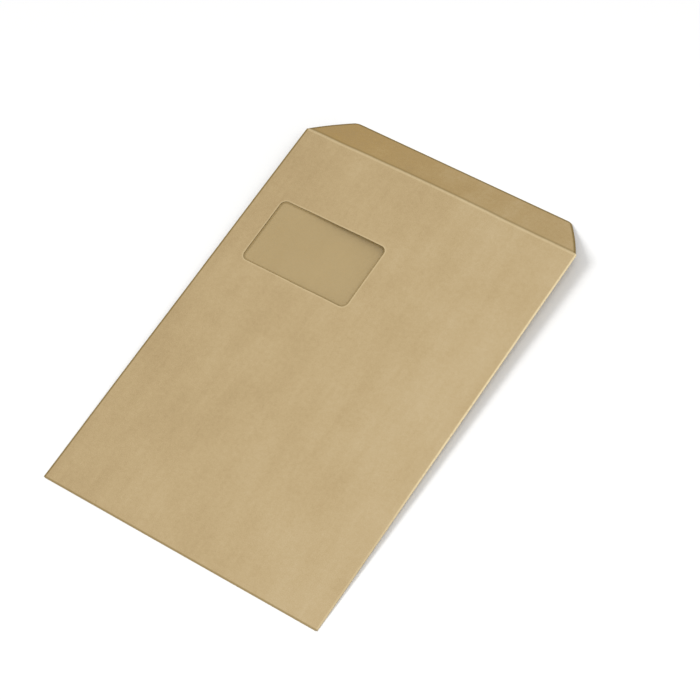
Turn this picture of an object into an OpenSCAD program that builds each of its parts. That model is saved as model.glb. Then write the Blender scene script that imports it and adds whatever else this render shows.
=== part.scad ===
// Pocket envelope with an address window, a bottom fold, two side seams and an open closure flap.
// One die-cut sheet is folded into the pocket. A clear film closes the window from the inside,
// and two dry adhesive strips meet when the flap is closed. The envelope lies on its back, and
// its mouth is propped up on the edge of the bent-back flap.

/* [Pocket] */
// Width between the two side folds
pocket_w = 229; // [160:1:330]
// Height from the bottom fold to the fold of the flap
pocket_h = 324; // [220:1:460]
// Thickness of the paper
paper_t = 0.12; // [0.1:0.01:0.2]
// Clear height that the folds leave inside the flat part of the pocket
fold_gap = 0.5; // [0.4:0.05:1]
// Distance of the back panel's mouth edge below the fold of the flap
throat = 5; // [4:0.5:9]
// Distance of the back panel's long edges inside the side folds
back_inset = 1.2; // [0.8:0.1:3]
// How much the top ends of the side folds slope down towards the back
fold_slope = 1.6; // [0.5:0.1:4]

/* [Side seams] */
// Width of the two seam flaps under the back panel
seam_w = 15; // [10:0.5:22]
// How much each end of a seam flap is cut back at its inner edge
seam_slant = 7; // [3:0.5:12]
// Thickness of the glue between a seam flap and the back panel
glue_line = 0.03; // [0.02:0.01:0.06]

/* [Swell] */
// Length above the bottom fold that lies quite flat
flat_h = 90; // [40:1:120]
// Rise of the front panel at the middle of the mouth
front_rise = 1.8; // [0.5:0.1:4]
// Sag of the back panel at the middle of the mouth
back_sag = 6; // [3:0.5:8]

/* [Closure flap] */
// Height of the flap from its fold to its free edge, along the paper
flap_h = 32.5; // [26:0.5:45]
// Distance of the flap inside the side folds where it starts
shoulder = 1; // [0.8:0.1:4]
// Distance of the flap's free corners inside the side folds
flap_taper = 23; // [14:1:30]
// How far the middle of the flap's side stands outside a straight line
flap_bulge = 1; // [0.2:0.1:1.5]
// Radius of the flap's free corners
flap_corner_r = 7; // [3:0.5:10]
// Outer radius of the crease where the flap bends
crease_r = 1; // [0.6:0.1:2]
// Angle that the flap is bent back from the front panel
flap_bend = 28.5; // [20:0.5:40]

/* [Window] */
// Width of the window
window_w = 90; // [60:1:110]
// Height of the window
window_h = 55; // [35:1:70]
// Distance of the window from the left side fold
window_left = 20; // [16:1:40]
// Distance of the window below the fold of the flap
window_top = 59; // [30:1:90]
// Radius of the window's corners
window_r = 5; // [2:0.5:10]
// Width of the film's glued rim around the window
film_lap = 8; // [5:0.5:12]
// Radius of the film's corners
film_r = 1; // [0.5:0.5:6]
// Thickness of the film
film_t = 0.04; // [0.03:0.01:0.08]

/* [Adhesive strips] */
// Distance of both strips' ends inside the side folds
strip_inset = 26; // [24:1:45]
// Thickness of the dry adhesive
strip_t = 0.04; // [0.03:0.01:0.08]
// Height of the strip on the flap
flap_strip_h = 15; // [8:0.5:18]
// Distance of the strip on the flap from the free edge
flap_strip_edge = 1.5; // [1:0.5:4]
// Height of the strip on the back panel
pocket_strip_h = 13; // [8:0.5:18]
// Distance of the strip on the back panel below the fold of the flap
pocket_strip_drop = 11; // [10:0.5:24]

/* [Smoothness] */
// Columns of facets across the swelling middle
swell_columns = 12; // [8:2:20]
// Rows of facets along the swelling length
swell_rows = 9; // [6:1:16]
// Facets round a fold of half a turn
fold_facets = 6; // [4:2:12]
// Facets round a free corner of the flap, and rows of facets before it
corner_facets = 4; // [3:1:8]
// Facets round the crease of the flap
crease_facets = 3; // [2:1:6]
// Facets round a whole circle of the window's and the film's corners
circle_facets = 48; // [24:8:96]

/* [Hidden] */

paper_colour = "#BEA57C";
film_colour = [0.85, 0.87, 0.84, 0.45];
flap_strip_colour = "#8F6A3E";
pocket_strip_colour = "#C29A72";

// The flat pocket lies along Y from its bottom fold, with its middle layer at height zero
half_w = pocket_w / 2;
fold_r = fold_gap / 2 + paper_t;
swell_w = half_w - seam_w;
back_half = half_w - back_inset;
seam_level = -fold_gap / 2 + glue_line;
side_r = (fold_r - seam_level) / 2;
front_half = half_w - side_r;

// The flap starts where its crease ends, and its free corner is an arc that meets both edges
crease_arc = crease_r * flap_bend * PI / 180;
flap_run = flap_h - crease_arc;
corner_slope = (flap_taper - shoulder + 4 * flap_bulge) / flap_run;
corner_tilt = atan(corner_slope);
corner_x = half_w - flap_taper + flap_corner_r * (corner_slope - 1 / cos(corner_tilt));
corner_start = flap_run - flap_corner_r * (1 - sin(corner_tilt));

// Lower corner of the free edge, and the tilt that rests it and the bottom fold on the ground
edge_r = crease_r - paper_t;
edge_y = pocket_h + edge_r * sin(flap_bend) + flap_run * cos(flap_bend);
edge_z = fold_r - crease_r + edge_r * cos(flap_bend) - flap_run * sin(flap_bend);
reach = norm([edge_y - fold_r, edge_z]);
tilt = -asin(fold_r / reach) - atan2(edge_z, edge_y - fold_r);
low_y = fold_r * cos(tilt) - fold_r;
high_y = (edge_y + paper_t * sin(flap_bend)) * cos(tilt) - (edge_z + paper_t * cos(flap_bend)) * sin(tilt);

// Height of the blocks that trim the window, the film and the strips, well above the swell
cut_h = 20;

// Swell of a panel at a place across it, from none at the seams to all of it in the middle
function across(x) = abs(x) < swell_w ? pow(cos(90 * x / swell_w), 2) : 0;

// Swell of a panel at a place along it, from none in the flat part to all of it at the mouth
function ease(t) = t * t * (3 - 2 * t);
function along(y) = y > flat_h ? ease((y - flat_h) / (pocket_h - flat_h)) : 0;

// Outer faces of the two panels
function front_z(x, y) = fold_r + front_rise * across(x) * along(y);
function back_z(x, y) = -fold_r - back_sag * across(x) * along(y);

// Half the flap's width at a distance from the end of its crease, up to the free corner's arc
function flap_half(s) =
    let (t = s / flap_run)
    half_w - shoulder - (flap_taper - shoulder) * t + 4 * flap_bulge * t * (1 - t);

// Stations along the swelling length up to a given height
function swell_stations(top) = [for (k = [0:swell_rows]) flat_h + (top - flat_h) * k / swell_rows];

function reversed(list) = [for (k = [len(list) - 1:-1:0]) list[k]];

// Rows of the sheet in the order of the folded strip: panel, station along it and half width there
back_rows = concat(
    [for (y = reversed(swell_stations(pocket_h - throat))) ["back", y, back_half]],
    [["back", fold_r, back_half]]);
bottom_rows = [for (k = [1:fold_facets - 1]) ["bottom", 180 * k / fold_facets - 90, back_half]];
front_rows = concat(
    [["front", fold_r, front_half]],
    [for (y = swell_stations(pocket_h)) ["front", y, front_half]]);
crease_rows = [for (k = [1:crease_facets]) ["crease", flap_bend * k / crease_facets, half_w - shoulder]];
flap_rows = concat(
    [for (k = [1:corner_facets]) let (s = corner_start * k / corner_facets) ["flap", s, flap_half(s)]],
    [for (k = [1:corner_facets])
        let (a = corner_tilt + (90 - corner_tilt) * k / corner_facets)
        ["flap", flap_run - flap_corner_r * (1 - sin(a)), corner_x + flap_corner_r * cos(a)]]);

// Columns across the sheet: the panels themselves, and the side folds with their seam flaps
panel_columns = concat(
    [["panel", -front_half]],
    [for (k = [0:swell_columns]) ["panel", swell_w * (2 * k / swell_columns - 1)]],
    [["panel", front_half]]);
function side_columns(side) = concat(
    [["seam", seam_w, side]],
    [for (k = [0:fold_facets - 1]) ["fold", 180 * k / fold_facets - 90, side]]);
sheet_columns = concat(side_columns(-1), panel_columns, reversed(side_columns(1)));

// Place of a panel column in a row: the back panel and the bottom fold end short of the side folds,
// and the flap draws all its columns in
function row_x(row, x) =
    row[0] == "flap" || row[0] == "crease" ? x * row[2] / front_half : max(-row[2], min(row[2], x));

// Point of a panel, a given depth below the outer face of the sheet
function panel_point(row, x, depth) =
    row[0] == "back" ? [x, row[1], back_z(x, row[1]) + depth] :
    row[0] == "bottom" ? [x, fold_r - (fold_r - depth) * cos(row[1]), (fold_r - depth) * sin(row[1])] :
    row[0] == "front" ? [x, row[1], front_z(x, row[1]) - depth] :
    row[0] == "crease" ? crease_point(x, row[1], depth, front_z(x, pocket_h)) :
    let (rise = (front_z(x, pocket_h) - fold_r) * (1 - row[1] / flap_run))
    crease_point(x, flap_bend, depth, fold_r + rise) + row[1] * [0, cos(flap_bend), -sin(flap_bend)];

function crease_point(x, angle, depth, z) = [
    x,
    pocket_h + (crease_r - depth) * sin(angle),
    z - crease_r + (crease_r - depth) * cos(angle)
];

// Station on a side fold, whose top end slopes from the front panel round to the seam flap
function fold_y(y, angle) = y * (1 - fold_slope / pocket_h * (90 - angle) / 180);

// Point of a side fold, or of the inner edge of its seam flap
function side_point(row, column, depth) =
    column[0] == "fold" ? [
        column[2] * (front_half + (side_r - depth) * cos(column[1])),
        fold_y(row[1], column[1]),
        fold_r - side_r + (side_r - depth) * sin(column[1])
    ] : [
        column[2] * (half_w - column[1]),
        row[1] + seam_slant * (1 - 2 * (row[1] - fold_r) / (pocket_h - fold_r)),
        seam_level + depth
    ];

function sheet_point(row, column, depth) =
    column[0] == "panel" ? panel_point(row, row_x(row, column[1]), depth) : side_point(row, column, depth);

// One layer of the sheet between two depths, over some of its rows and columns.
// Only the front panel's rows go on into the side folds.
module sheet_layer(rows, columns, top, bottom) {
    m = len(rows);
    n = len(columns);
    function has_cell(i, j) =
        i >= 0 && i < m - 1 && j >= 0 && j < n - 1 &&
        (columns[j][0] == "panel" && columns[j + 1][0] == "panel" ||
         rows[i][0] == "front" && rows[i + 1][0] == "front");
    function corner(i, j) = i * n + j;
    function triangles(a, b, c, d) = [[a, b, c], [a, c, d]];
    function wall(a, b) = triangles(b, a, a + m * n, b + m * n);
    points = [for (depth = [top, bottom]) for (row = rows) for (column = columns)
        sheet_point(row, column, depth)];
    faces = [for (i = [0:m - 2]) for (j = [0:n - 2]) if (has_cell(i, j))
        let (
            a = corner(i, j),
            b = corner(i + 1, j),
            c = corner(i + 1, j + 1),
            d = corner(i, j + 1)
        )
        each concat(
            triangles(a, b, c, d),
            triangles(a + m * n, d + m * n, c + m * n, b + m * n),
            has_cell(i, j - 1) ? [] : wall(a, b),
            has_cell(i + 1, j) ? [] : wall(b, c),
            has_cell(i, j + 1) ? [] : wall(c, d),
            has_cell(i - 1, j) ? [] : wall(d, a))];
    polyhedron(points, faces, convexity = 8);
}

// Rounded rectangle, given the lower left corner
module rounded_plate(w, h, r, t) {
    linear_extrude(t) {
        translate([r, 0])
            square([w - 2 * r, h]);
        translate([0, r])
            square([w, h - 2 * r]);
        for (x = [r, w - r]) {
            for (y = [r, h - r]) {
                translate([x, y])
                    circle(r, $fn = circle_facets);
            }
        }
    }
}

// Lays the envelope down on its bottom fold and on the edge of its flap, centred over the origin
module lying() {
    translate([0, -(low_y + high_y) / 2, fold_r * (1 - sin(tilt))])
        rotate([tilt, 0, 0])
            children();
}

// Turns a thing that is drawn flat, with its Y axis down the flap, onto the flap's plane
module on_flap() {
    translate([0, pocket_h + crease_r * sin(flap_bend), fold_r - crease_r * (1 - cos(flap_bend))])
        rotate([-flap_bend, 0, 0])
            children();
}

module window_area(margin, r) {
    translate([window_left - half_w - margin, pocket_h - window_top - window_h - margin, 0])
        rounded_plate(window_w + 2 * margin, window_h + 2 * margin, r, cut_h);
}

// The one folded sheet: back panel, bottom fold, front panel with its seams, crease and flap
module folded_sheet() {
    color(paper_colour)
        lying()
            difference() {
                sheet_layer(
                    concat(back_rows, bottom_rows, front_rows, crease_rows, flap_rows),
                    sheet_columns, 0, paper_t);
                window_area(0, window_r);
            }
}

// The film lies against the inner face of the front panel and laps the window all round
module window_film() {
    color(film_colour)
        lying()
            intersection() {
                sheet_layer(front_rows, panel_columns, paper_t, paper_t + film_t);
                window_area(film_lap, film_r);
            }
}

// The strip on the inner face of the flap, along its free edge
module flap_adhesive() {
    color(flap_strip_colour)
        lying()
            intersection() {
                sheet_layer(flap_rows, panel_columns, paper_t, paper_t + strip_t);
                on_flap()
                    translate([strip_inset - half_w, flap_run - flap_strip_edge - flap_strip_h, -cut_h / 2])
                        cube([pocket_w - 2 * strip_inset, flap_strip_h, cut_h]);
            }
}

// The strip on the outer face of the back panel, below the mouth
module pocket_adhesive() {
    color(pocket_strip_colour)
        lying()
            intersection() {
                sheet_layer(back_rows, panel_columns, -strip_t, 0);
                translate([strip_inset - half_w, pocket_h - pocket_strip_drop - pocket_strip_h, -cut_h])
                    cube([pocket_w - 2 * strip_inset, pocket_strip_h, cut_h]);
            }
}

folded_sheet();
window_film();
flap_adhesive();
pocket_adhesive();
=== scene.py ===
import math

import bpy
from mathutils import Matrix, Vector, noise


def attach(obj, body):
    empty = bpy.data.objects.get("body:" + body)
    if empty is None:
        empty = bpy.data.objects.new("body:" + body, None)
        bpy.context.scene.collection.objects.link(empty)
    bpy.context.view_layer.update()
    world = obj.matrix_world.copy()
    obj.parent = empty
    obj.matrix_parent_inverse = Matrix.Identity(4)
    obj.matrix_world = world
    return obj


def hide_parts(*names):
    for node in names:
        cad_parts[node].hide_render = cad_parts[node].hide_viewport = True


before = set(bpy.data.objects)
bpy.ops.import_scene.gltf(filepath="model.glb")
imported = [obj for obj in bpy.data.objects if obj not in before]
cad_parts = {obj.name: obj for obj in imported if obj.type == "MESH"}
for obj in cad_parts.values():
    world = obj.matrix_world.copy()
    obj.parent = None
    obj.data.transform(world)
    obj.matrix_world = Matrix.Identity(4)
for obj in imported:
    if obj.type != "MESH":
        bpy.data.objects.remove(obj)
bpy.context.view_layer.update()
print("loaded the packed envelope")

mm = 0.001

# Sizes of the pocket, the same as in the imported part
pocket = {
    "width": 229 * mm,
    "height": 324 * mm,
    "paper": 0.12 * mm,
    "foldGap": 0.5 * mm,
    "throat": 5 * mm,  # how far the mouth's back edge lies below the flap's crease
    "backInset": 1.2 * mm,
    "seamWidth": 15 * mm,
    "seamSlant": 7 * mm,
    "glueLine": 0.03 * mm,
    "flatHeight": 90 * mm,  # the pocket swells from here to the mouth
    "frontRise": 1.8 * mm,
    "backSag": 6 * mm,
    "foldSlope": 1.6 * mm,  # the side folds' top ends slope down towards the back
}

closureFlap = {
    "height": 32.5 * mm,
    "shoulder": 1 * mm,  # how far in its slanted ends start
    "taper": 23 * mm,  # how far in they end
    "bulge": 1 * mm,
    "cornerRadius": 7 * mm,
    "creaseRadius": 1 * mm,
    "bend": math.radians(28.5),
}

window = {
    "width": 90 * mm,
    "height": 55 * mm,
    "left": 20 * mm,
    "below": 59 * mm,
    "cornerRadius": 5 * mm,
}

# Gentle unevenness that a real sheet has after it has been folded, glued and handled
handling = {
    "waveHeight": 0.75 * mm,
    "waveWidth": 30 * mm,
    "waveLength": 190 * mm,
    "cockleHeight": 0.13 * mm,
    "cockleSize": 16 * mm,
    "seamGhost": 0.07 * mm,  # the step where a seam flap shows through the back panel
    "ghostWidth": 1.2 * mm,
    "ghostStart": 6 * mm,  # the step grows over this distance from the bottom fold
    "groundFade": 14 * mm,
    "seed": 4.7,
}

# How finely the blank is divided
fineness = {
    "panelStep": 3 * mm,
    "seamStep": 2.4 * mm,
    "flapStep": 2.2 * mm,
    "mouthRow": 3 * mm,
    "bottomRow": 2 * mm,
    "creaseRow": 1 * mm,
    "ghostPlaces": (-1.4, -1.0, -0.6, -0.2, 0.2),  # millimetres from the seam flap's edge
    "sideFacets": 8,
    "bottomFacets": 10,
    "creaseFacets": 6,
    "windowFacets": 8,
    "cornerFacets": 9,
    "weld": 0.001 * mm,
    "sharpAngle": 0.7,  # radians
    "digits": 7,  # decimals of a metre that tell two places apart
}

halfWidth = pocket["width"] / 2
foldRadius = pocket["foldGap"] / 2 + pocket["paper"]
seamLevel = -pocket["foldGap"] / 2 + pocket["glueLine"]
sideRadius = (foldRadius - seamLevel) / 2
frontHalf = halfWidth - sideRadius
backHalf = halfWidth - pocket["backInset"]
swellHalf = halfWidth - pocket["seamWidth"]
frontLength = pocket["height"] - foldRadius
bottomArc = math.pi * foldRadius
backLength = pocket["height"] - pocket["throat"] - foldRadius
sideArc = math.pi * sideRadius
creaseArc = closureFlap["creaseRadius"] * closureFlap["bend"]
flapRun = closureFlap["height"] - creaseArc
windowX = window["left"] - halfWidth
windowTop = frontLength - window["below"]

# How the envelope lies: on its bottom fold and on the free edge of its flap
edgeRadius = closureFlap["creaseRadius"] - pocket["paper"]
bendSin = math.sin(closureFlap["bend"])
bendCos = math.cos(closureFlap["bend"])
edgeY = pocket["height"] + edgeRadius * bendSin + flapRun * bendCos
edgeZ = foldRadius - closureFlap["creaseRadius"] + edgeRadius * bendCos - flapRun * bendSin
reach = math.hypot(edgeY - foldRadius, edgeZ)
tilt = -math.asin(foldRadius / reach) - math.atan2(edgeZ, edgeY - foldRadius)
lowY = foldRadius * math.cos(tilt) - foldRadius
farY = edgeY + pocket["paper"] * bendSin
farZ = edgeZ + pocket["paper"] * bendCos
highY = farY * math.cos(tilt) - farZ * math.sin(tilt)
lift = foldRadius * (1 - math.sin(tilt))

# What the folding tree is told, by the names of its inputs
foldInputs = {
    "Fold Radius": foldRadius,
    "Side Radius": sideRadius,
    "Front Half": frontHalf,
    "Front Length": frontLength,
    "Crease Radius": closureFlap["creaseRadius"],
    "Flap Bend": closureFlap["bend"],
    "Flap Run": flapRun,
    "Swell Half": swellHalf,
    "Flat Height": pocket["flatHeight"],
    "Front Rise": pocket["frontRise"],
    "Back Sag": pocket["backSag"],
    "Wave Height": handling["waveHeight"],
    "Wave Width": handling["waveWidth"],
    "Wave Length": handling["waveLength"],
    "Cockle Height": handling["cockleHeight"],
    "Cockle Size": handling["cockleSize"],
    "Seam Ghost": handling["seamGhost"],
    "Ghost Width": handling["ghostWidth"],
    "Ghost Start": handling["ghostStart"],
    "Ground Fade": handling["groundFade"],
    "Seed": handling["seed"],
    "Tilt": tilt,
    "Lift": lift,
    "Centre": (lowY + highY) / 2,
}


class Term:  # one number inside a node tree, so that a formula can be written as usual
    def __init__(self, tree, socket):
        self.tree = tree
        self.socket = socket

    def math(self, operation, *others):
        node = self.tree.nodes.new("ShaderNodeMath")
        node.operation = operation
        for place, value in zip(node.inputs, (self, *others)):
            plug(self.tree, value, place)
        return Term(self.tree, node.outputs[0])

    def __add__(self, other):
        return self.math("ADD", other)

    def __radd__(self, other):
        return self.math("ADD", other)

    def __sub__(self, other):
        return self.math("SUBTRACT", other)

    def __rsub__(self, other):
        return self.math("MULTIPLY", -1.0).math("ADD", other)

    def __mul__(self, other):
        return self.math("MULTIPLY", other)

    def __rmul__(self, other):
        return self.math("MULTIPLY", other)

    def __truediv__(self, other):
        return self.math("DIVIDE", other)

    def size(self):
        return self.math("ABSOLUTE")

    def most(self, *others):
        largest = self
        for other in others:
            largest = largest.math("MAXIMUM", other)
        return largest

    def between(self, low, high):
        return self.most(low).math("MINIMUM", high)

    def eased(self, start, end):  # 0 before start, 1 after end, smooth between
        t = ((self - start) / (end - start)).between(0.0, 1.0)
        return t * t * (3.0 - 2.0 * t)

    def faded(self, start, end):  # 1 before start, 0 after end, smooth between
        return 1.0 - self.eased(start, end)


def plug(tree, value, place):
    if isinstance(value, Term):
        tree.links.new(value.socket, place)
    elif isinstance(value, bpy.types.NodeSocket):
        tree.links.new(value, place)
    else:
        place.default_value = value


def addNode(tree, kind, values=None, **settings):
    node = tree.nodes.new(kind)
    for name, value in settings.items():
        setattr(node, name, value)
    for name, value in (values or {}).items():
        plug(tree, value, node.inputs[name])
    return node


def splitVector(tree, socket):
    node = addNode(tree, "ShaderNodeSeparateXYZ", {0: socket})
    return [Term(tree, output) for output in node.outputs]


def makeVector(tree, x, y, z):
    return addNode(tree, "ShaderNodeCombineXYZ", {0: x, 1: y, 2: z}).outputs[0]


def noiseField(tree, place, scale, detail, roughness=0.5, distortion=0.0):
    node = addNode(tree, "ShaderNodeTexNoise", {
        "Vector": place,
        "Scale": scale,
        "Detail": detail,
        "Roughness": roughness,
        "Distortion": distortion,
    }, noise_dimensions="3D")
    return Term(tree, node.outputs[0])


def storeAttribute(tree, geometry, name, value, kind, domain):
    node = addNode(tree, "GeometryNodeStoreNamedAttribute", {
        "Geometry": geometry,
        "Name": name,
        "Value": value,
    }, data_type=kind, domain=domain)
    return node.outputs[0]


def buildFoldTree():  # folds a flat blank, gives it its thickness and lays it down
    tree = bpy.data.node_groups.new("foldBlank", "GeometryNodeTree")
    sockets = tree.interface
    sockets.new_socket("Blank", in_out="INPUT", socket_type="NodeSocketGeometry")
    for name in foldInputs:
        sockets.new_socket(name, in_out="INPUT", socket_type="NodeSocketFloat")
    sockets.new_socket("Finish", in_out="INPUT", socket_type="NodeSocketMaterial")
    sockets.new_socket("Folded", in_out="OUTPUT", socket_type="NodeSocketGeometry")
    start = tree.nodes.new("NodeGroupInput")
    end = tree.nodes.new("NodeGroupOutput")
    value = {name: Term(tree, start.outputs[name]) for name in foldInputs}

    # thickness: the flat blank is pushed out below itself and closed
    thickness = addNode(tree, "GeometryNodeInputNamedAttribute", {0: "thickness"}, data_type="FLOAT")
    down = Term(tree, thickness.outputs[0]) * -1.0
    pushed = addNode(tree, "GeometryNodeExtrudeMesh", {
        "Mesh": start.outputs["Blank"],
        "Offset": makeVector(tree, 0.0, 0.0, down),
        "Offset Scale": 1.0,
        "Individual": False,
    }, mode="FACES")
    grown = storeAttribute(
        tree, pushed.outputs["Mesh"], "innerFace", pushed.outputs["Top"], "BOOLEAN", "FACE")
    grown = storeAttribute(tree, grown, "cutEdge", pushed.outputs["Side"], "BOOLEAN", "FACE")
    turned = addNode(tree, "GeometryNodeFlipFaces", {"Mesh": grown})
    joined = tree.nodes.new("GeometryNodeJoinGeometry")
    tree.links.new(turned.outputs[0], joined.inputs[0])
    tree.links.new(start.outputs["Blank"], joined.inputs[0])
    closed = addNode(tree, "GeometryNodeMergeByDistance", {
        "Geometry": joined.outputs[0],
        "Distance": fineness["weld"],
    })
    angle = tree.nodes.new("GeometryNodeInputMeshEdgeAngle")
    sharp = Term(tree, angle.outputs["Unsigned Angle"]).math("GREATER_THAN", fineness["sharpAngle"])
    kept = storeAttribute(tree, closed.outputs[0], "sharp_edge", sharp, "BOOLEAN", "EDGE")
    position = tree.nodes.new("GeometryNodeInputPosition").outputs[0]
    kept = storeAttribute(tree, kept, "blankPlace", position, "FLOAT_VECTOR", "POINT")

    # places on the blank: u across, v along from the bottom fold, depth below the outer face
    u, v, level = splitVector(tree, position)
    depth = level * -1.0
    onFront = v.between(0.0, value["Front Length"])
    roundBottom = (v * -1.0 / value["Fold Radius"]).between(0.0, math.pi)
    onBack = (v * -1.0 - value["Fold Radius"] * math.pi).most(0.0)
    pastFront = v - value["Front Length"]
    roundCrease = (pastFront / value["Crease Radius"]).between(0.0, value["Flap Bend"])
    onFlap = (pastFront - value["Crease Radius"] * value["Flap Bend"]).most(0.0)
    pastSide = (u.size() - value["Front Half"]).most(0.0)
    roundSide = (pastSide / value["Side Radius"]).between(0.0, math.pi)
    onSeam = (pastSide - value["Side Radius"] * math.pi).most(0.0)

    bottomDepth = value["Fold Radius"] - depth
    creaseDepth = value["Crease Radius"] - depth
    sideDepth = value["Side Radius"] - depth
    halfPlace = u.size().math("MINIMUM", value["Front Half"])
    x = u.math("SIGN") * (halfPlace + sideDepth * roundSide.math("SINE") - onSeam)
    panelY = value["Fold Radius"] + onFront + onBack
    y = panelY - bottomDepth * roundBottom.math("SINE") + creaseDepth * roundCrease.math("SINE")
    y = y + onFlap * value["Flap Bend"].math("COSINE")
    z = bottomDepth * roundBottom.math("COSINE") + creaseDepth * (roundCrease.math("COSINE") - 1.0)
    z = z + sideDepth * (roundSide.math("COSINE") - 1.0) - onFlap * value["Flap Bend"].math("SINE")

    # the swell towards the mouth, which fades out over the flap
    height = value["Fold Radius"] + value["Front Length"]
    across = ((x / value["Swell Half"]).between(-1.0, 1.0) * (math.pi / 2)).math("COSINE")
    along = panelY.eased(value["Flat Height"], height)
    behind = v.math("LESS_THAN", 0.0)
    rise = value["Front Rise"] - behind * (value["Front Rise"] + value["Back Sag"])
    flapFade = 1.0 - onFlap / value["Flap Run"]
    z = z + across * across * along * rise * flapFade

    # long waves and small cockles, shared by all layers so that they never cross
    sheetY = panelY + onFlap
    seed = value["Seed"]
    wavePlace = makeVector(tree, x / value["Wave Width"], sheetY / value["Wave Length"], seed)
    cocklePlace = makeVector(tree, x / value["Cockle Size"], sheetY / value["Cockle Size"], seed)
    waves = noiseField(tree, wavePlace, scale=1.0, detail=1.0, distortion=0.3)
    cockles = noiseField(tree, cocklePlace, scale=1.0, detail=2.0)
    relief = (waves - 0.5) * value["Wave Height"] * 2.0
    relief = relief + (cockles - 0.5) * value["Cockle Height"] * 2.0
    relief = relief * (panelY / value["Ground Fade"]).between(0.0, 1.0) * flapFade
    z = z + relief

    # the seam flaps show through the back panel as a faint step
    step = (value["Swell Half"] - x.size()).eased(0.0, value["Ghost Width"])
    grownStep = onBack.eased(0.0, value["Ghost Start"])
    z = z + step * grownStep * value["Seam Ghost"]

    # lies down on the bottom fold and the free edge of the flap
    tiltSin = value["Tilt"].math("SINE")
    tiltCos = value["Tilt"].math("COSINE")
    lyingY = y * tiltCos - z * tiltSin - value["Centre"]
    lyingZ = y * tiltSin + z * tiltCos + value["Lift"]
    placed = addNode(tree, "GeometryNodeSetPosition", {
        "Geometry": kept,
        "Position": makeVector(tree, x, lyingY, lyingZ),
    })
    realized = addNode(tree, "GeometryNodeRealizeInstances", {0: placed.outputs[0]})
    dressed = addNode(tree, "GeometryNodeSetMaterial", {
        "Geometry": realized.outputs[0],
        "Material": start.outputs["Finish"],
    })
    tree.links.new(dressed.outputs[0], end.inputs["Folded"])
    return tree


foldTree = buildFoldTree()
print("built the folding tree")


def foldPiece(name, points, faces, thicknesses, finish):
    flat = bpy.data.meshes.new(name + "Flat")
    flat.from_pydata(points, [], faces)
    flat.polygons.foreach_set("use_smooth", [True] * len(faces))
    layer = flat.attributes.new("thickness", "FLOAT", "POINT")
    layer.data.foreach_set("value", thicknesses)
    blank = bpy.data.objects.new(name + "Blank", flat)
    bpy.context.scene.collection.objects.link(blank)
    modifier = blank.modifiers.new("fold", "NODES")
    modifier.node_group = foldTree
    for item in foldTree.interface.items_tree:
        if item.in_out == "INPUT" and item.name in foldInputs:
            modifier[item.identifier] = foldInputs[item.name]
        elif item.name == "Finish":
            modifier[item.identifier] = finish
    graph = bpy.context.evaluated_depsgraph_get()
    mesh = bpy.data.meshes.new_from_object(blank.evaluated_get(graph))
    mesh.name = name
    piece = bpy.data.objects.new(name, mesh)
    bpy.context.scene.collection.objects.link(piece)
    bpy.data.objects.remove(blank)
    print(name, len(mesh.polygons), "faces")
    return piece


def stations(fixed, step):  # the fixed places and even divisions between them
    places = sorted(fixed)
    result = [places[0]]
    for first, last in zip(places, places[1:]):
        parts = max(1, round((last - first) / step))
        result += [first + (last - first) * k / parts for k in range(1, parts + 1)]
    return result


def flapHalf(s):  # half the flap's width at a distance from its crease
    t = s / flapRun
    straight = (closureFlap["taper"] - closureFlap["shoulder"]) * t
    return halfWidth - closureFlap["shoulder"] - straight + 4 * closureFlap["bulge"] * t * (1 - t)


def flapRows():  # distance from the crease and half width, up to the free edge
    radius = closureFlap["cornerRadius"]
    slope = (closureFlap["taper"] - closureFlap["shoulder"] + 4 * closureFlap["bulge"]) / flapRun
    lean = math.atan(slope)
    centre = halfWidth - closureFlap["taper"] + radius * (slope - 1 / math.cos(lean))
    straight = flapRun - radius * (1 - math.sin(lean))
    rows = [(s, flapHalf(s)) for s in stations([0, straight], fineness["flapStep"])[1:]]
    for k in range(1, fineness["cornerFacets"] + 1):
        a = lean + (math.pi / 2 - lean) * k / fineness["cornerFacets"]
        rows.append((flapRun - radius * (1 - math.sin(a)), centre + radius * math.cos(a)))
    return rows


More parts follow.
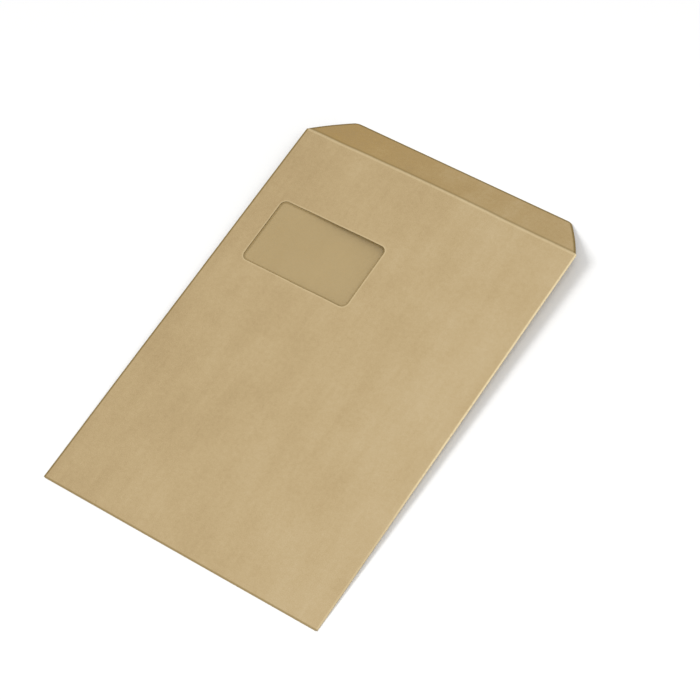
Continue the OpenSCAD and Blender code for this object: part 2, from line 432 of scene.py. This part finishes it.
def cutBlank():
    count = fineness["windowFacets"]
    radius = window["cornerRadius"]
    arc = [radius * (1 - math.cos(math.pi / 2 * k / count)) for k in range(count + 1)]
    left = [windowX + a for a in arc]
    right = [windowX + window["width"] - a for a in reversed(arc)]
    low = [windowTop - window["height"] + a for a in arc]
    high = [windowTop - a for a in reversed(arc)]
    ghost = [swellHalf + k * mm for k in fineness["ghostPlaces"]]  # fine where the seams show through
    fixed = [-frontHalf, -backHalf, backHalf, frontHalf] + left + right + ghost + [-g for g in ghost]
    panel = stations(fixed, fineness["panelStep"])
    turns = range(1, fineness["sideFacets"] + 1)
    sides = [frontHalf + sideArc * k / fineness["sideFacets"] for k in turns]
    seamEnd = sides[-1] + frontHalf - swellHalf
    seam = stations([sides[-1], seamEnd], fineness["seamStep"])[1:]
    columns = [-c for c in reversed(sides + seam)] + panel + sides + seam

    mouth = -bottomArc - backLength
    backFixed = [mouth, mouth + fineness["mouthRow"], -bottomArc - handling["ghostStart"], -bottomArc]
    rows = [("back", v, backHalf) for v in stations(backFixed, fineness["panelStep"])]
    for k in range(1, fineness["bottomFacets"]):
        rows.append(("back", -bottomArc * (1 - k / fineness["bottomFacets"]), backHalf))
    frontFixed = [0, fineness["bottomRow"], frontLength - fineness["creaseRow"], frontLength]
    frontRows = stations(frontFixed + low + high, fineness["panelStep"])
    rows += [("front", v, seamEnd) for v in frontRows]
    for k in range(1, fineness["creaseFacets"] + 1):
        rows.append(("flap", frontLength + creaseArc * k / fineness["creaseFacets"], flapHalf(0)))
    rows += [("flap", frontLength + creaseArc + s, half) for s, half in flapRows()]

    def place(row, c):
        kind, v, half = row
        if kind == "flap":
            return (c * half / frontHalf, v, 0.0)
        if kind == "front":
            turn = min(max((abs(c) - frontHalf) / sideArc, 0), 1)
            slope = pocket["foldSlope"] / pocket["height"] * turn
            onFold = max((v + foldRadius) * (1 - slope) - foldRadius, 0)
            onSeam = v + pocket["seamSlant"] * (1 - 2 * v / frontLength)
            slant = max(abs(c) - sides[-1], 0) / (seamEnd - sides[-1])
            v = onFold + (onSeam - onFold) * slant
        return (c, v, 0.0)

    def onPaper(i, j):  # whether a cell of the grid is paper
        kinds = {rows[i][0], rows[i + 1][0]}
        widest = max(abs(columns[j]), abs(columns[j + 1]))
        if kinds == {"front"}:
            return True
        return widest <= (frontHalf if "flap" in kinds else backHalf) + 10 ** -fineness["digits"]

    def rounded(distance):
        return round(distance, fineness["digits"])

    columnOf = {rounded(c): j for j, c in enumerate(columns)}
    rowOf = {rounded(row[1]): i for i, row in enumerate(rows)}
    leftEdge = [columnOf[rounded(c)] for c in left]
    rightEdge = [columnOf[rounded(c)] for c in right]
    lowEdge = [rowOf[rounded(v)] for v in low]
    highEdge = [rowOf[rounded(v)] for v in high]

    def windowCell(i, j):  # "hole", "paper", or the corner that keeps its triangle
        if not (lowEdge[0] <= i < highEdge[-1] and leftEdge[0] <= j < rightEdge[-1]):
            return "paper"
        fromLeft, fromRight = j - leftEdge[0], rightEdge[-1] - 1 - j
        fromLow, fromHigh = i - lowEdge[0], highEdge[-1] - 1 - i
        a, b = min(fromLeft, fromRight), min(fromLow, fromHigh)
        if a + b >= count:
            return "hole"
        if a + b < count - 1:
            return "paper"
        side = "left" if fromLeft < fromRight else "right"
        return side + ("Low" if fromLow < fromHigh else "High")

    grid = {}
    points = []

    def corner(i, j):
        if (i, j) not in grid:
            grid[i, j] = len(points)
            points.append(place(rows[i], columns[j]))
        return grid[i, j]

    faces = []
    for i in range(len(rows) - 1):
        for j in range(len(columns) - 1):
            kind = windowCell(i, j)
            if kind == "hole" or not onPaper(i, j):
                continue
            a, b = (i, j), (i, j + 1)
            c, d = (i + 1, j + 1), (i + 1, j)
            shape = {
                "paper": (a, b, c, d),
                "leftLow": (a, b, d),
                "rightLow": (a, b, c),
                "leftHigh": (a, c, d),
                "rightHigh": (b, c, d),
            }[kind]
            faces.append([corner(*p) for p in shape])
    return points, faces


def stretched(tree, place, turn, scale):  # the place turned in the sheet's plane and scaled
    node = addNode(tree, "ShaderNodeMapping", {
        "Vector": place,
        "Rotation": (0, 0, turn),
        "Scale": scale,
    })
    return node.outputs[0]


def mixColour(tree, amount, first, second):  # a Mix node's sockets 6 and 7 are its two colours
    node = addNode(tree, "ShaderNodeMix", {0: amount, 6: first, 7: second}, data_type="RGBA")
    return node.outputs[2]


def startGroup(name, inputs, outputs):
    tree = bpy.data.node_groups.new(name, "ShaderNodeTree")
    for label, kind in inputs.items():
        tree.interface.new_socket(label, in_out="INPUT", socket_type=kind)
    for label in outputs:
        tree.interface.new_socket(label, in_out="OUTPUT", socket_type="NodeSocketFloat")
    return tree, tree.nodes.new("NodeGroupInput"), tree.nodes.new("NodeGroupOutput")


def useGroup(tree, group, values):  # the group's outputs by name
    node = addNode(tree, "ShaderNodeGroup", values, node_tree=group)
    return {output.name: Term(tree, output) for output in node.outputs}


def startMaterial(name):
    material = bpy.data.materials.new(name)
    material.use_nodes = True
    tree = material.node_tree
    shader = tree.nodes["Principled BSDF"]
    return material, tree, shader


def sheetPlace(tree):  # place on the flat blank, in millimetres
    node = addNode(tree, "ShaderNodeAttribute", attribute_name="blankPlace")
    scaled = addNode(tree, "ShaderNodeVectorMath", {
        0: node.outputs["Vector"],
        1: (1 / mm, 1 / mm, 1 / mm),
    }, operation="MULTIPLY")
    return scaled.outputs[0]


def faceMask(tree, name):
    node = addNode(tree, "ShaderNodeAttribute", attribute_name=name)
    return Term(tree, node.outputs["Fac"])


def addBump(tree, shader, strength, distance, height):
    bump = addNode(tree, "ShaderNodeBump", {
        "Strength": strength,
        "Distance": distance,
        "Height": height,
    })
    plug(tree, bump.outputs[0], shader.inputs["Normal"])


# Layers of noise that tint the paper; their scales are for a place in millimetres
paperLayers = {
    "clouds": {"scale": 0.31, "detail": 4.0, "roughness": 0.6, "share": 0.7},
    "mottle": {"scale": 0.085, "detail": 3.0, "roughness": 0.55, "share": 0.32},
    "blotches": {"scale": 0.018, "detail": 2.0, "roughness": 0.5, "share": 0.9},
    "streaks": {
        "turn": 0.05, "stretch": (0.07, 0.011, 0.05),
        "scale": 1.0, "detail": 3.0, "roughness": 0.55, "share": 0.66,
    },
    "ribs": {
        "turn": 0.0, "stretch": (1.6, 0.03, 0.05),
        "scale": 1.0, "detail": 2.0, "roughness": 0.5, "share": 0.25,
    },
    "grain": {"scale": 1.5, "detail": 4.0, "roughness": 0.7, "share": 2.3},
}
paperFibres = {
    "runs": ((0.18, 5.2), (-0.62, 6.0), (1.1, 5.6), (2.2, 6.4)),  # turn, and scale across the fibres
    "along": 0.42,  # scale along them
    "through": 0.4,
    "light": (0.64, 0.74),
    "dark": (0.66, 0.76),
    "speckScale": 0.085,
    "speckCore": 0.008,
    "speckSmallest": 0.02,
    "speckVariety": 0.022,
}
paperRelief = {
    "clouds": 0.35,
    "grain": 0.5,
    "light": 0.35,
    "dark": 0.3,
}


def buildPaperGroup():  # fibres, clouds and specks of kraft paper, for a place in millimetres
    tree, start, end = startGroup(
        "kraftFibres", {"Place": "NodeSocketVector"},
        ("Tone", "Light Fibres", "Dark Fibres", "Specks", "Height"))
    place = start.outputs["Place"]
    layers = {}
    tone = None
    for name, look in paperLayers.items():
        spot = stretched(tree, place, look["turn"], look["stretch"]) if "stretch" in look else place
        layers[name] = noiseField(tree, spot, look["scale"], look["detail"], look["roughness"])
        tint = (layers[name] - 0.5) * look["share"]
        tone = tint if tone is None else tone + tint

    lightSets = []
    darkSets = []
    for turn, across in paperFibres["runs"]:
        run = stretched(tree, place, turn, (across, paperFibres["along"], paperFibres["through"]))
        lines = noiseField(tree, run, scale=1.0, detail=1.0)
        lightSets.append(lines.eased(*paperFibres["light"]))
        darkSets.append((1.0 - lines).eased(*paperFibres["dark"]))
    light = lightSets[0].most(*lightSets[1:])
    dark = darkSets[0].most(*darkSets[1:])

    cells = addNode(tree, "ShaderNodeTexVoronoi", {
        "Vector": place,
        "Scale": paperFibres["speckScale"],
        "Randomness": 1.0,
    })
    chance = splitVector(tree, cells.outputs["Color"])[0]
    speckEdge = paperFibres["speckSmallest"] + paperFibres["speckVariety"] * chance
    specks = Term(tree, cells.outputs["Distance"]).faded(paperFibres["speckCore"], speckEdge)
    height = layers["clouds"] * paperRelief["clouds"] + layers["grain"] * paperRelief["grain"]
    height = height + light * paperRelief["light"] - dark * paperRelief["dark"]
    plug(tree, tone, end.inputs["Tone"])
    plug(tree, light, end.inputs["Light Fibres"])
    plug(tree, dark, end.inputs["Dark Fibres"])
    plug(tree, specks, end.inputs["Specks"])
    plug(tree, height, end.inputs["Height"])
    return tree


def buildWindowGroup():  # distance from the window's edge in millimetres, negative inside it
    tree, start, end = startGroup("windowEdge", {"Place": "NodeSocketVector"}, ("Distance",))
    x, y, _ = splitVector(tree, start.outputs["Place"])
    radius = window["cornerRadius"] / mm
    middleX = (windowX + window["width"] / 2) / mm
    middleY = (windowTop - window["height"] / 2) / mm
    overX = (x - middleX).size() - (window["width"] / 2 / mm - radius)
    overY = (y - middleY).size() - (window["height"] / 2 / mm - radius)
    outX = overX.most(0.0)
    outY = overY.most(0.0)
    outside = (outX * outX + outY * outY).math("SQRT")
    inside = overX.most(overY).math("MINIMUM", 0.0)
    plug(tree, outside + inside - radius, end.inputs["Distance"])
    return tree


paperGroup = buildPaperGroup()
windowGroup = buildWindowGroup()
print("mixed the paper")

# Finish of the sheet; widths and places in millimetres
kraft = {
    "colour": (0.494, 0.367, 0.191, 1),
    "deep": (0.356, 0.245, 0.116, 1),
    "pale": (0.59, 0.47, 0.285, 1),
    "speck": (0.14, 0.08, 0.035, 1),
    # a worn colour for the cut edges, also used for the painted highlights along the right fold, the
    # crease and the window's rim
    "wearAndHighlight": (0.80, 0.66, 0.40, 1),
    # painted shade colour for the edges and the scored groove
    "paintedShadeColour": (0.175, 0.115, 0.024, 1),
    # painted shade colour for the flap, which is bent away from the light
    "handled": (0.43, 0.264, 0.066, 1),
    "inner": (0.424, 0.307, 0.0985, 1),
    "paintedSideLight": 0.25,  # painted light: how much lighter the paper is painted towards its right side, where more light falls
    "fibreLight": 0.34,
    "fibreDark": 0.30,
    "specks": 0.6,
    "handledShare": 0.55,  # of the painted flap shade's colour in the middle of the flap
    "handledSlope": 0.0021,  # how much less of it each millimetre to the right
    "handledStart": 2.0,
    "scoreStart": (-0.2, 0.4),
    "scoreEnd": (1.6, 3.4),
    # painted shade in the scored groove
    "scorePaintedShade": 0.36,
    "scoreDepth": 0.8,
    "innerShare": 0.20,
    "innerEven": 0.7,  # how much weaker the tones are inside
    "innerPlain": 0.6,  # and the fibres
    "patchScale": 0.5,
    "patches": (0.15, 0.5),
    # painted highlights along the right fold, the crease and the window's rim
    "foldHighlight": 1.0,
    "foldWidth": (0.8, 1.9),
    "lowHighlight": 0.3,  # its share near the bottom
    "highlightGrows": (50.0, 150.0),  # places up the fold
    "creaseHighlight": 0.28,
    "creaseWidth": (0.6, 1.6),
    "rimHighlight": 0.29,
    "rimWidth": 1.6,
    "cutWear": 0.4,
    # painted shade along the left fold, the bottom fold and the flap's free edges
    "edgePaintedShade": 0.78,
    "bottomPaintedShade": 0.7,  # the bottom fold's share of it
    "evenPaintedShade": 0.6,  # the share of it that isn't patchy
    "edgeShadeWidth": (1.0, 1.9),
    "flapEdgeShadeWidth": (0.9, 2.1),
    "flapEdgeShadeStart": (0.0, 1.0),
    "gloss": 0.2,
    "roughness": 0.62,
    "toneRoughness": 0.12,
    "innerRoughness": 0.14,
    "wearAndHighlightRoughness": 0.15,
    "roughnessRange": (0.4, 0.95),
    "bump": 0.7,
    "relief": 0.035 * mm,
}


def kraftPaper():
    material, tree, shader = startMaterial("kraftPaper")
    place = sheetPlace(tree)
    paper = useGroup(tree, paperGroup, {"Place": place})
    u, v, _ = splitVector(tree, place)
    pastCrease = v - (frontLength + creaseArc) / mm
    inner = faceMask(tree, "innerFace")
    tone = paper["Tone"] * (1.0 - inner * kraft["innerEven"])
    # painted light: the tone is lifted towards the right side, where more light falls
    tone = tone + u * (kraft["paintedSideLight"] * mm / halfWidth)
    up = tone.between(0.0, 1.0)
    down = (tone * -1.0).between(0.0, 1.0)
    plain = 1.0 - inner * kraft["innerPlain"]
    light = paper["Light Fibres"] * plain
    dark = paper["Dark Fibres"] * plain

    # painted shade: the flap, bent away from the light, is painted darker, most at its left end
    handled = kraft["handledShare"] - u * kraft["handledSlope"]
    handled = pastCrease.eased(0.0, kraft["handledStart"]) * handled
    colour = mixColour(tree, handled, kraft["colour"], kraft["handled"])
    colour = mixColour(tree, up, colour, kraft["pale"])
    colour = mixColour(tree, down, colour, kraft["deep"])
    colour = mixColour(tree, light * kraft["fibreLight"], colour, kraft["pale"])
    colour = mixColour(tree, dark * kraft["fibreDark"], colour, kraft["deep"])
    colour = mixColour(tree, paper["Specks"] * kraft["specks"], colour, kraft["speck"])

    # a scored line beyond the crease, painted darker as painted shade in its groove, and the inner
    # face's own colour
    score = pastCrease.eased(*kraft["scoreStart"]) * pastCrease.faded(*kraft["scoreEnd"])
    colour = mixColour(tree, score * kraft["scorePaintedShade"], colour, kraft["paintedShadeColour"])
    colour = mixColour(tree, inner * kraft["innerShare"], colour, kraft["inner"])

    # painted highlights make the right fold, the crease and the window's rim lighter; the cut edges
    # are worn a little lighter
    patchy = noiseField(tree, place, kraft["patchScale"], detail=3.0, roughness=0.6)
    patchy = patchy.eased(*kraft["patches"])
    sideFold = (frontHalf + sideArc / 2) / mm
    fromRight = (u - sideFold).size()
    fromCrease = (v - frontLength / mm).size()
    fromWindow = useGroup(tree, windowGroup, {"Place": place})["Distance"]
    upFold = kraft["lowHighlight"] + v.eased(*kraft["highlightGrows"]) * (1 - kraft["lowHighlight"])
    onRight = fromRight.faded(*kraft["foldWidth"]) * patchy * kraft["foldHighlight"] * upFold
    onCrease = fromCrease.faded(*kraft["creaseWidth"]) * patchy * kraft["creaseHighlight"]
    rim = fromWindow.faded(0.0, kraft["rimWidth"])
    cut = faceMask(tree, "cutEdge") * kraft["cutWear"]
    wearAndHighlights = onRight.most(onCrease, rim * kraft["rimHighlight"], cut)
    colour = mixColour(tree, wearAndHighlights, colour, kraft["wearAndHighlight"])

    # painted shade: the left fold, the bottom fold and the flap's free edges are painted darker,
    # where they turn away from the light
    fromLeft = (u + sideFold).size()
    fromBottom = (v + bottomArc / 2 / mm).size()
    upFlap = (pastCrease / (flapRun / mm)).between(0.0, 1.0)
    slant = (closureFlap["taper"] - closureFlap["shoulder"]) / mm
    swell = upFlap * (1.0 - upFlap) * (4 * closureFlap["bulge"] / mm)
    reachOut = (halfWidth - closureFlap["shoulder"]) / mm - upFlap * slant + swell
    fromEnds = (reachOut - u.size()) * math.cos(math.atan(slant / (flapRun / mm)))
    fromTop = flapRun / mm - pastCrease
    flapEdge = fromEnds.math("MINIMUM", fromTop).faded(*kraft["flapEdgeShadeWidth"])
    onLeft = fromLeft.faded(*kraft["edgeShadeWidth"])
    onBottom = fromBottom.faded(*kraft["edgeShadeWidth"]) * kraft["bottomPaintedShade"]
    paintedEdgeShade = onLeft.most(onBottom, flapEdge * pastCrease.eased(*kraft["flapEdgeShadeStart"]))
    paintedEdgeShade = paintedEdgeShade * (kraft["evenPaintedShade"] + patchy * (1 - kraft["evenPaintedShade"]))
    colour = mixColour(tree, paintedEdgeShade * kraft["edgePaintedShade"], colour, kraft["paintedShadeColour"])
    plug(tree, colour, shader.inputs["Base Color"])
    roughness = kraft["roughness"] + tone * kraft["toneRoughness"] + inner * kraft["innerRoughness"]
    roughness = (roughness + wearAndHighlights * kraft["wearAndHighlightRoughness"]).between(*kraft["roughnessRange"])
    plug(tree, roughness, shader.inputs["Roughness"])
    shader.inputs["Specular IOR Level"].default_value = kraft["gloss"]
    height = paper["Height"] - score * kraft["scoreDepth"] - rim
    addBump(tree, shader, kraft["bump"], kraft["relief"], height)
    return material


points, faces = cutBlank()
foldedSheet = foldPiece("foldedSheet", points, faces, [pocket["paper"]] * len(points), kraftPaper())
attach(foldedSheet, "root")
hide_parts("folded_sheet")

film = {
    "colour": (0.40, 0.36, 0.26, 1),
    "dusty": (0.55, 0.51, 0.41, 1),
    # colour of the band of glue and painted shade inside the window's edge
    "glue": (0.18, 0.105, 0.006, 1),
    "haze": 0.008,  # how much of the film shows where it is clean
    "dust": 0.012,  # how much more where it is dusty
    "scuffs": 0.02,
    "dustScale": 0.06,
    "scuffTurn": 0.5,
    "scuffStretch": (1.4, 0.05, 1.0),
    "scuffStart": (0.62, 0.8),
    "mirror": 0.015,  # how much it mirrors seen from straight above
    "lowMirror": 0.7,  # how much more at a low angle
    "mirrorPower": 5.0,
    "roughness": 0.10,
    "dustRoughness": 0.12,
    "scuffRoughness": 0.2,
    "glueRoughness": 0.2,
    "roughnessRange": (0.05, 0.6),
    "bump": 0.5,
    "relief": 0.08 * mm,
    "glueWidth": 1.6,  # millimetres of the dark band of glue and painted shade inside the window's edge
    "glueShift": (-0.25, 0.25, 0),  # millimetres the band is moved off the window's middle, so that its painted shade lies wider along the top and left
    "glueRag": 0.7,
    "glueFade": (-0.2, 0.35),
    "glueCover": 0.07,
    "lap": 8 * mm,
    "thickness": 0.04 * mm,
    "slack": 0.22 * mm,
    "slackReach": 9 * mm,  # it hangs free this far from the window's edge
    "slackScale": (42, 30),
    "seed": 3.1,
    "step": 1.5 * mm,
}


def clearFilm():
    material, tree, shader = startMaterial("clearFilm")
    place = sheetPlace(tree)
    dust = noiseField(tree, place, film["dustScale"], detail=3.0, roughness=0.6)
    rubbedPlace = stretched(tree, place, film["scuffTurn"], film["scuffStretch"])
    scuffs = noiseField(tree, rubbedPlace, scale=1.0, detail=2.0, roughness=0.6)
    scuffs = scuffs.eased(*film["scuffStart"])

    # a dark band of glue just inside the window's edge, darkened as painted shade of that edge, wider
    # along the top and left where the shadow falls
    moved = addNode(tree, "ShaderNodeMapping", {"Vector": place, "Location": film["glueShift"]})
    edge = useGroup(tree, windowGroup, {"Place": moved.outputs[0]})["Distance"]
    ragged = noiseField(tree, place, scale=0.7, detail=3.0, roughness=0.6)
    edge = edge + (ragged - 0.5) * film["glueRag"]
    glue = edge.eased(*(fade - film["glueWidth"] for fade in film["glueFade"]))
    colour = mixColour(tree, dust, film["colour"], film["dusty"])
    colour = mixColour(tree, glue, colour, film["glue"])
    plug(tree, colour, shader.inputs["Base Color"])
    roughness = film["roughness"] + dust * film["dustRoughness"] + scuffs * film["scuffRoughness"]
    roughness = (roughness + glue * film["glueRoughness"]).between(*film["roughnessRange"])
    plug(tree, roughness, shader.inputs["Roughness"])
    shader.inputs["IOR"].default_value = 1.5
    ripple = noiseField(tree, place, scale=0.11, detail=2.0)
    addBump(tree, shader, film["bump"], film["relief"], ripple)

    # it shows by its haze, dust, scuffs and its band of glue and painted shade, and mirrors more at a
    # low angle
    facing = Term(tree, addNode(tree, "ShaderNodeLayerWeight", {"Blend": 0.5}).outputs["Facing"])
    mirror = film["mirror"] + facing.math("POWER", film["mirrorPower"]) * film["lowMirror"]
    shown = film["haze"] + dust * film["dust"] + scuffs * film["scuffs"] + mirror
    shown = (shown + glue * film["glueCover"]).between(0.0, 1.0)
    plug(tree, shown, shader.inputs["Alpha"])
    return material


def gridFaces(wide, high):  # faces between points that stand in rows
    faces = []
    for i in range(high - 1):
        for j in range(wide - 1):
            a = i * wide + j
            faces.append([a, a + 1, a + wide + 1, a + wide])
    return faces


def smooth(t):
    t = min(max(t, 0.0), 1.0)
    return t * t * (3 - 2 * t)


def filmPlace(x, y):  # lies on the inner face of the front, slack inside the window
    fromSides = min(x - windowX, windowX + window["width"] - x)
    fromEnds = min(y - windowTop + window["height"], windowTop - y)
    free = smooth(min(fromSides, fromEnds) / film["slackReach"])
    across, along = film["slackScale"]
    wave = 0.5 + noise.noise(Vector((x * across, y * along, film["seed"])))
    return (x, y, -pocket["paper"] - film["slack"] * free * min(max(wave, 0), 1))


filmSides = [windowX - film["lap"], windowX + window["width"] + film["lap"]]
filmEnds = [windowTop - window["height"] - film["lap"], windowTop + film["lap"]]
filmColumns = stations(filmSides, film["step"])
filmRows = stations(filmEnds, film["step"])
points = [filmPlace(x, y) for y in filmRows for x in filmColumns]
faces = gridFaces(len(filmColumns), len(filmRows))
windowFilm = foldPiece("windowFilm", points, faces, [film["thickness"]] * len(points), clearFilm())
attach(windowFilm, "root")
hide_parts("window_film")

# What both self-seal strips have in common
sealCoat = {
    "lineSpacing": 1.9,  # millimetres
    "wobble": 1.6,
    "lineCover": 0.22,
    "blobCover": 1.1,
    "bare": 0.7,  # more leaves more of the paper uncovered
    "lineHeight": 0.4,
    "blobHeight": 0.8,
    "patchHeight": 0.4,
    "paperHeight": 0.5,
    "thickShare": 0.25,
    "toneShare": 0.5,
    "mostThick": 0.5,
    "roughness": 0.52,
    "coverGloss": 0.2,
    "toneRoughness": 0.1,
    "roughnessRange": (0.2, 0.8),
    "bump": 0.8,
    "relief": 0.03 * mm,
    "columnStep": 1.1 * mm,
    "rowStep": 0.9 * mm,
    "edgeRow": 1.2 * mm,
    "runOut": 1.4 * mm,  # it grows thin over this distance from its edge
    "thinnest": 0.3,
    "endRag": 0.35 * mm,
    "endScale": 700,
    "endSeed": 1.7,
    "endPower": 9,
    "sideRag": 0.22 * mm,
    "sideScale": 260,
    "sideSeed": 8.3,
    "sidePower": 5,
}
flapStrip = {
    "inset": 26 * mm,
    "height": 15 * mm,
    "edge": 1.5 * mm,
    "thickness": 0.04 * mm,
    "thin": (0.42, 0.265, 0.095, 1),
    "thick": (0.32, 0.18, 0.05, 1),
}
pocketStrip = {
    "inset": 26 * mm,
    "height": 13 * mm,
    "below": 11 * mm,
    "thickness": 0.04 * mm,
    "thin": (0.53, 0.375, 0.17, 1),
    "thick": (0.46, 0.29, 0.105, 1),
}


def buildGlueGroup():  # the printed self-seal coating: fine lines, thin and thick patches
    tree, start, end = startGroup(
        "driedGlue", {"Place": "NodeSocketVector", "Line Spacing": "NodeSocketFloat"},
        ("Cover", "Height"))
    place = start.outputs["Place"]
    x = splitVector(tree, place)[0]
    wobble = noiseField(tree, place, scale=0.35, detail=3.0, roughness=0.6)
    turns = x / Term(tree, start.outputs["Line Spacing"]) + wobble * sealCoat["wobble"]
    lines = (turns * (2 * math.pi)).math("SINE") * 0.5 + 0.5
    patches = noiseField(tree, place, scale=0.22, detail=4.0, roughness=0.6)
    blobs = noiseField(tree, place, scale=0.75, detail=3.0, roughness=0.65)
    cover = lines * sealCoat["lineCover"] + patches + blobs * sealCoat["blobCover"]
    height = lines * sealCoat["lineHeight"] + blobs * sealCoat["blobHeight"]
    height = height + patches * sealCoat["patchHeight"]
    plug(tree, (cover - sealCoat["bare"]).between(0.0, 1.0), end.inputs["Cover"])
    plug(tree, height, end.inputs["Height"])
    return tree


glueGroup = buildGlueGroup()


def gluedStrip(name, strip):
    material, tree, shader = startMaterial(name)
    place = sheetPlace(tree)
    coat = useGroup(tree, glueGroup, {"Place": place, "Line Spacing": sealCoat["lineSpacing"]})
    paper = useGroup(tree, paperGroup, {"Place": place})
    cover = coat["Cover"]
    tone = paper["Tone"]
    colour = mixColour(tree, cover, strip["thin"], strip["thick"])
    thicker = sealCoat["thickShare"] - tone * sealCoat["toneShare"]
    colour = mixColour(tree, thicker.between(0.0, sealCoat["mostThick"]), colour, strip["thick"])
    plug(tree, colour, shader.inputs["Base Color"])
    roughness = sealCoat["roughness"] - cover * sealCoat["coverGloss"]
    roughness = (roughness + tone * sealCoat["toneRoughness"]).between(*sealCoat["roughnessRange"])
    plug(tree, roughness, shader.inputs["Roughness"])
    height = coat["Height"] + paper["Height"] * sealCoat["paperHeight"]
    addBump(tree, shader, sealCoat["bump"], sealCoat["relief"], height)
    return material


def stripPiece(name, strip, bottom, top, outer, finish):
    # ragged outline and a coat that runs out thin at its edges
    left, right = strip["inset"] - halfWidth, halfWidth - strip["inset"]
    edgeRow = sealCoat["edgeRow"]
    columns = stations([left, left + edgeRow, right - edgeRow, right], sealCoat["columnStep"])
    rows = stations([bottom, bottom + edgeRow, top - edgeRow, top], sealCoat["rowStep"])
    points = []
    thicknesses = []
    for y in rows:
        for x in columns:
            across = (x - left) / (right - left) * 2 - 1
            up = (y - bottom) / (top - bottom) * 2 - 1
            endNoise = noise.noise(Vector((y * sealCoat["endScale"], across, sealCoat["endSeed"])))
            sideNoise = noise.noise(Vector((x * sealCoat["sideScale"], up * 2, sealCoat["sideSeed"])))
            endRag = endNoise * sealCoat["endRag"] * across ** sealCoat["endPower"]
            sideRag = sideNoise * sealCoat["sideRag"] * up ** sealCoat["sidePower"]
            inward = min(x - left, right - x, y - bottom, top - y)
            full = smooth(inward / sealCoat["runOut"])
            thick = strip["thickness"] * (sealCoat["thinnest"] + (1 - sealCoat["thinnest"]) * full)
            level = thick if outer else -pocket["paper"]
            points.append((x + endRag, y + sideRag, level))
            thicknesses.append(thick)
    return foldPiece(name, points, gridFaces(len(columns), len(rows)), thicknesses, finish)


flapTop = frontLength + creaseArc + flapRun - flapStrip["edge"]
flapGlue = stripPiece(
    "flapStrip", flapStrip, flapTop - flapStrip["height"], flapTop, False,
    gluedStrip("flapGlue", flapStrip))
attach(flapGlue, "root")
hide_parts("flap_adhesive")

stripUp = pocket["height"] - pocketStrip["below"] - foldRadius  # from the bottom fold to its top
stripEdge = -bottomArc - stripUp
pocketGlue = stripPiece(
    "pocketStrip", pocketStrip, stripEdge, stripEdge + pocketStrip["height"], True,
    gluedStrip("pocketGlue", pocketStrip))
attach(pocketGlue, "root")
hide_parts("pocket_adhesive")
print("made the pieces")

studio = {
    "floorSize": 12.0,
    "floorColour": (0.985, 0.985, 0.98, 1),
    "floorRoughness": 0.9,
    "floorGloss": 0.1,
    "worldColour": (1, 1, 1, 1),
    "worldStrength": 0.50,
    "keyPower": 100.5,
    "keySize": 1.9,
    "keyPlace": (-2.0, -1.9, 3.8),
    "fillPower": 5.0,
    "fillSize": 0.8,
    "fillPlace": (0.6, -0.05, 1.2),
}
view = {
    "aim": (0.015751, 0.009301, 0.006),
    "distance": 1.71964,
    "azimuth": -43.578,
    "elevation": 57.358,
    "roll": -14.515,
    "lens": 128.485,
    "sensor": 36,
    "farthest": 50,
}


def paleFloor():
    material, _, shader = startMaterial("paleFloor")
    shader.inputs["Base Color"].default_value = studio["floorColour"]
    shader.inputs["Roughness"].default_value = studio["floorRoughness"]
    shader.inputs["Specular IOR Level"].default_value = studio["floorGloss"]
    return material


def layFloor():
    mesh = bpy.data.meshes.new("floor")
    half = studio["floorSize"] / 2
    corners = [(-half, -half, 0), (half, -half, 0), (half, half, 0), (-half, half, 0)]
    mesh.from_pydata(corners, [], [(0, 1, 2, 3)])
    floor = bpy.data.objects.new("floor", mesh)
    mesh.materials.append(paleFloor())
    bpy.context.scene.collection.objects.link(floor)


def hangLight(name, place, power, size):
    light = bpy.data.lights.new(name, "AREA")
    light.energy = power
    light.size = size
    lamp = bpy.data.objects.new(name, light)
    lamp.location = place
    lamp.rotation_euler = (-Vector(place)).to_track_quat("-Z", "Y").to_euler()
    bpy.context.scene.collection.objects.link(lamp)


def lightWorld():
    world = bpy.data.worlds.new("studio")
    world.use_nodes = True
    background = world.node_tree.nodes["Background"]
    background.inputs["Strength"].default_value = studio["worldStrength"]
    background.inputs["Color"].default_value = studio["worldColour"]
    bpy.context.scene.world = world


def setCamera():
    data = bpy.data.cameras.new("camera")
    data.lens = view["lens"]
    data.sensor_width = view["sensor"]
    data.clip_end = view["farthest"]
    camera = bpy.data.objects.new("camera", data)
    azimuth, elevation = math.radians(view["azimuth"]), math.radians(view["elevation"])
    level = math.cos(elevation)
    away = Vector((math.cos(azimuth) * level, math.sin(azimuth) * level, math.sin(elevation)))
    turn = away.to_track_quat("Z", "Y").to_matrix().to_4x4()
    place = Matrix.Translation(Vector(view["aim"]) + away * view["distance"])
    camera.matrix_world = place @ turn @ Matrix.Rotation(math.radians(view["roll"]), 4, "Z")
    bpy.context.scene.collection.objects.link(camera)
    bpy.context.scene.camera = camera


layFloor()
hangLight("key", studio["keyPlace"], studio["keyPower"], studio["keySize"])
hangLight("fill", studio["fillPlace"], studio["fillPower"], studio["fillSize"])
lightWorld()
bpy.context.scene.view_settings.view_transform = "Standard"
setCamera()
print("set the studio")
